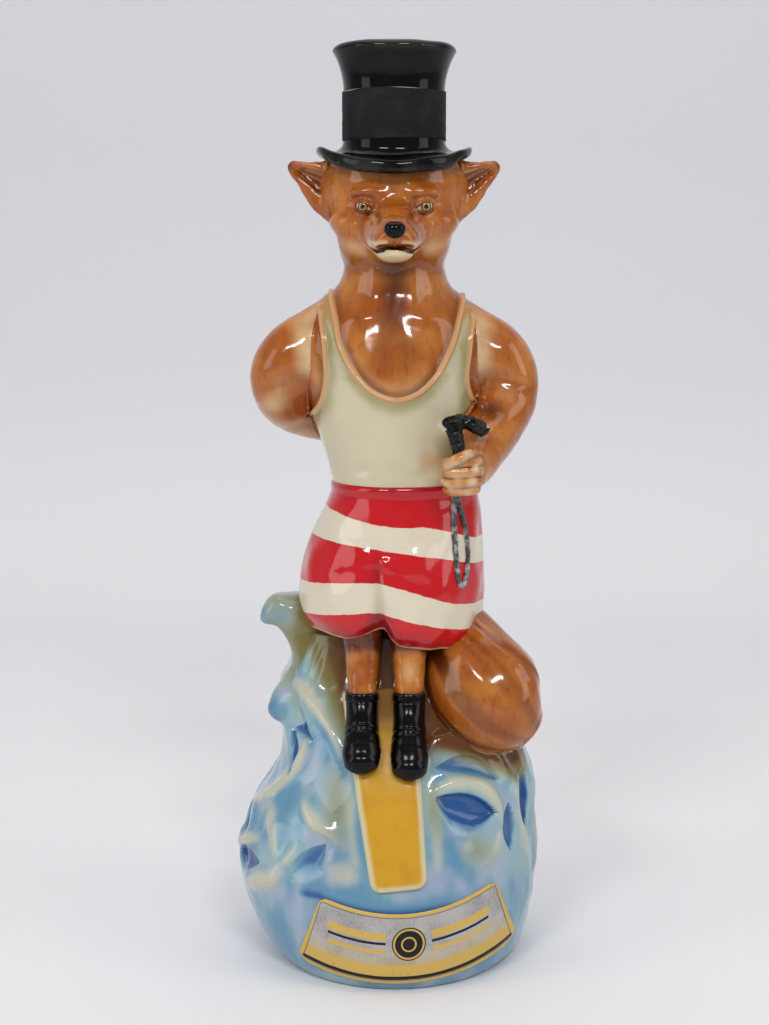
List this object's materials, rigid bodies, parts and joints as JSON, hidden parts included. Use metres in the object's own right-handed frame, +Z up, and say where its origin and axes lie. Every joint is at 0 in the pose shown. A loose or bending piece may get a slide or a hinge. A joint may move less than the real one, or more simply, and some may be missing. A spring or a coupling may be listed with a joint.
{
  "type": "figural liquor decanter",
  "caption": "Glazed porcelain decanter in the form of a dressed fox on a board riding a wave; the crown of its top hat lifts out as a corked stopper.",
  "frame": {"origin": "middle of the foot on the table, under the axis of the neck", "axes": "+Z up along the neck, the figure faces -Y, +X to the figure's left hand"},
  "size_m": [0.1138, 0.1047, 0.3285],
  "materials": {
    "blue_glaze": "gloss",
    "brown_glaze": "gloss",
    "cream_glaze": "gloss",
    "red_glaze": "gloss",
    "black_glaze": "gloss",
    "yellow_glaze": "gloss",
    "cork": "matte",
    "tape": "matte",
    "foil": "satin"
  },
  "bodies": {
    "decanter": {"wave_base": "blue_glaze", "wave_crest": "blue_glaze", "wave_curl": "blue_glaze", "tail": "brown_glaze", "torso": "brown_glaze", "left_arm": "brown_glaze", "right_arm": "brown_glaze", "left_leg": "brown_glaze", "right_leg": "brown_glaze", "head": "brown_glaze", "left_ear": "brown_glaze", "right_ear": "brown_glaze", "vest": "cream_glaze", "trunks": "red_glaze", "left_boot": "black_glaze", "right_boot": "black_glaze", "crop_handle": "black_glaze", "crop_lash": "black_glaze", "hat_brim": "black_glaze", "neck_sleeve": "black_glaze", "surfboard": "yellow_glaze", "seal_band": "tape", "foil_label": "foil"},
    "stopper": {"hat_crown": "black_glaze", "stopper_cork": "cork"}
  },
  "joints": [
    {"name": "stopper_lift", "type": "slide", "parent": "decanter", "child": "stopper", "axis": [0, 0, 1], "range_m": [0, 0.06]}
  ]
}
